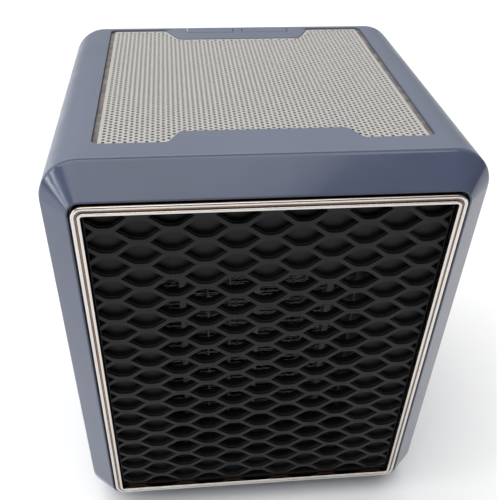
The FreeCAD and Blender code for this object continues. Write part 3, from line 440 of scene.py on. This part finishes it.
RIBBON_PITCH = 3.8 * MM
RIBBON_WIDTH = 0.75 * MM    # across, along the air's way through
RIBBON_THICKNESS = 0.16 * MM
RIBBON_STEP = 0.9 * MM      # between two points of the ribbon's run
RIBBON_SAG = 0.45 * MM
RIBBON_RISE = 0.6 * MM      # of the lowest ribbon above the node's lowest point
END_SCATTER = 0.4           # millimetres off level that a ribbon may be held at each support
SUPPORT_PLACES = (0, 17, 31, 47)    # mica strips on each side of the middle, in millimetres
CRIMP_HEIGHT = 0.18 * MM
CRIMP_LENGTH = 3.1 * MM
CRIMP_DEPTH = 0.3 * MM


def build_ribbons(node, seed):
    """One heating circuit: hand-strung crimped strips from rib to rib, wavy and never quite level."""
    chance = random.Random(seed)
    low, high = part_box(node)
    strips = {side * place * MM for side in (-1, 1) for place in SUPPORT_PLACES}
    supports = sorted({low[0], high[0]} | strips)
    depth = (low[1] + high[1]) / 2
    vertices, faces = [], []
    rows = round((high[2] - low[2]) / RIBBON_PITCH)
    for row in range(rows):
        level = low[2] + row * RIBBON_PITCH + RIBBON_RISE
        ends = {place: level + chance.uniform(-END_SCATTER, END_SCATTER) * MM for place in supports}
        first = len(vertices)
        count = 0
        phase = chance.uniform(0, math.tau)
        for left, right in zip(supports, supports[1:]):
            sag = chance.uniform(-1.0, 1.0) * RIBBON_SAG
            steps = max(2, round((right - left) / RIBBON_STEP))
            last = right == supports[-1]
            for step in range(steps + (1 if last else 0)):
                share = step / steps
                x = left + (right - left) * share
                z = ends[left] + (ends[right] - ends[left]) * share + sag * 4 * share * (1 - share)
                z += CRIMP_HEIGHT * math.sin(phase + x / CRIMP_LENGTH * math.tau)
                y = depth + CRIMP_DEPTH * math.sin(phase + x / (2 * CRIMP_LENGTH) * math.tau)
                for across, up in ((-1, -1), (1, -1), (1, 1), (-1, 1)):
                    vertices.append((x, y + across * RIBBON_WIDTH / 2, z + up * RIBBON_THICKNESS / 2))
                count += 1
        for ring in range(count - 1):
            a = first + 4 * ring
            for side in range(4):
                b = (side + 1) % 4
                faces.append([a + side, a + b, a + 4 + b, a + 4 + side])
        faces.append([first, first + 3, first + 2, first + 1])
        end = first + 4 * (count - 1)
        faces.append([end, end + 1, end + 2, end + 3])
    piece = make_object(node + "_ribbons", vertices, faces, materials["heating_alloy"])
    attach(piece, "housing")
    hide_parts(node)


# ---------------------------------------------------------------- button springs

SPRING_TURNS = 5
SPRING_STEPS = 20           # along each turn
WIRE_CORNERS = 8
WIRE_RADIUS = 0.35 * MM


def build_spring(node):
    """A coil of round wire, as tall as the spring's part."""
    low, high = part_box(node)
    middle_x, middle_y = (low[0] + high[0]) / 2, (low[1] + high[1]) / 2
    coil_radius = (high[0] - low[0]) / 2 - WIRE_RADIUS
    height = high[2] - low[2]
    bottom, rise = low[2] + WIRE_RADIUS, height - 2 * WIRE_RADIUS
    vertices, faces = [], []
    count = SPRING_TURNS * SPRING_STEPS + 1
    for step in range(count):
        turn = math.tau * step / SPRING_STEPS
        level = bottom + rise * step / (count - 1)
        for corner in range(WIRE_CORNERS):
            around = math.tau * corner / WIRE_CORNERS
            reach = coil_radius + WIRE_RADIUS * math.cos(around)
            vertices.append((middle_x + reach * math.cos(turn), middle_y + reach * math.sin(turn),
                             level + WIRE_RADIUS * math.sin(around)))
    for step in range(count - 1):
        for corner in range(WIRE_CORNERS):
            a = step * WIRE_CORNERS + corner
            b = step * WIRE_CORNERS + (corner + 1) % WIRE_CORNERS
            faces.append([a, a + WIRE_CORNERS, b + WIRE_CORNERS, b])
    faces.append(list(range(WIRE_CORNERS)))
    faces.append([(count - 1) * WIRE_CORNERS + corner for corner in reversed(range(WIRE_CORNERS))])
    slot = slot_of[node]
    piece = make_object(node + "_coil", vertices, faces, materials[slot])
    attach(piece, "housing")
    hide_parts(node)
    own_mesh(piece)


# ---------------------------------------------------------------- camera, floor and light

CAMERA_PLACE = Vector((-0.0457, -0.3830, 0.4279))
CAMERA_PITCH, CAMERA_YAW, CAMERA_ROLL = 38.87, 5.83, -1.22
CAMERA_LENS, CAMERA_SENSOR = 46.56, 36.0
CAMERA_SHIFT = (0.026, 0.06)
FLOOR_REACH = 6.0
ROOM_STRENGTH = 0.6
OVERHEAD_ENERGY, OVERHEAD_SPREAD = 2.5, 75
OVERHEAD_DIRECTION = Vector((0.2, 0.02, -1.0))
WINDOW_STRIPS = (-0.52, -0.36)
WINDOW_TINT = (0.93, 0.97, 1.0)


def aim(position, pitch, yaw, roll):
    """A camera's world matrix from its angles: pitch down, yaw towards +X, roll about its view."""
    p, y, r = (math.radians(angle) for angle in (pitch, yaw, roll))
    ahead = Vector((math.sin(y) * math.cos(p), math.cos(y) * math.cos(p), -math.sin(p)))
    level = Vector((math.cos(y), -math.sin(y), 0))
    down = ahead.cross(level)
    right = math.cos(r) * level + math.sin(r) * down
    below = math.cos(r) * down - math.sin(r) * level
    matrix = Matrix((right, -below, -ahead)).transposed().to_4x4()
    matrix.translation = position
    return matrix


def add_camera():
    data = bpy.data.cameras.new("camera")
    data.lens, data.sensor_width = CAMERA_LENS, CAMERA_SENSOR
    data.shift_x, data.shift_y = CAMERA_SHIFT
    camera = bpy.data.objects.new("camera", data)
    camera.matrix_world = aim(CAMERA_PLACE, CAMERA_PITCH, CAMERA_YAW, CAMERA_ROLL)
    scene.collection.objects.link(camera)
    scene.camera = camera


def add_floor():
    """One wide pale sheet under the object."""
    mesh = bpy.data.meshes.new("floor")
    corners = [(x * FLOOR_REACH, y * FLOOR_REACH, 0) for x, y in ((-1, -1), (1, -1), (1, 1), (-1, 1))]
    mesh.from_pydata(corners, [], [(0, 1, 2, 3)])
    material, nodes, shader = new_material("floor")
    tone = nodes.ramp(nodes.noise(3.0, 3.0), [(0.3, (0.94, 0.94, 0.94)), (0.7, (0.96, 0.96, 0.96))])
    nodes.link(tone, shader.inputs["Base Color"])
    shader.inputs["Roughness"].default_value = 0.9
    mesh.materials.append(material)
    floor = bpy.data.objects.new("floor", mesh)
    scene.collection.objects.link(floor)


def area_light(name, place, target, size, power, tint=(1.0, 1.0, 1.0)):
    data = bpy.data.lights.new(name, "AREA")
    data.shape = "RECTANGLE"
    data.size, data.size_y = size
    data.energy = power
    data.color = tint
    light = bpy.data.objects.new(name, data)
    light.location = place
    light.rotation_euler = (Vector(target) - Vector(place)).to_track_quat("-Z", "Y").to_euler()
    scene.collection.objects.link(light)


def add_light():
    """Soft overhead light, two narrow window strips on the left, and a room that darkens to the front."""
    world = bpy.data.worlds.new("studio")
    world.use_nodes = True
    scene.world = world
    world.node_tree.nodes.clear()
    nodes = Nodes(world.node_tree)
    direction = nodes.add("ShaderNodeTexCoord").outputs["Generated"]
    parts = nodes.add("ShaderNodeSeparateXYZ", in0=direction)
    by_height = nodes.scaled(parts.outputs["Z"], -0.1, 0.9, 0.2, 1.0)
    by_depth = nodes.scaled(parts.outputs["Y"], -1.0, 1.0, 0.35, 1.6)
    strength = nodes.math("MULTIPLY", nodes.math("MULTIPLY", by_height, by_depth), ROOM_STRENGTH)
    sky = nodes.add("ShaderNodeBackground", Strength=strength)
    output = nodes.add("ShaderNodeOutputWorld")
    nodes.link(sky.outputs[0], output.inputs["Surface"])
    data = bpy.data.lights.new("overhead", "SUN")
    data.energy, data.angle = OVERHEAD_ENERGY, math.radians(OVERHEAD_SPREAD)
    data.specular_factor = 0.25
    overhead = bpy.data.objects.new("overhead", data)
    overhead.rotation_euler = OVERHEAD_DIRECTION.to_track_quat("-Z", "Y").to_euler()
    scene.collection.objects.link(overhead)
    area_light("left", (-1.9, 0.2, 0.9), (0, 0, 0.15), (1.3, 1.0), 6)
    for index, y in enumerate(WINDOW_STRIPS):
        area_light(f"window_{index}", (-1.5, y, 0.66), (-0.1, -0.1, 0.25), (0.07, 0.9), 1.8,
                   WINDOW_TINT)
    scene.view_settings.view_transform = "Standard"


build_top_mesh()
for seed, circuit in enumerate(("heating_wire_low", "heating_wire_high")):
    build_ribbons(circuit, seed)
build_spring("power_button_spring")
build_spring("mode_button_spring")
add_camera()
add_floor()
add_light()
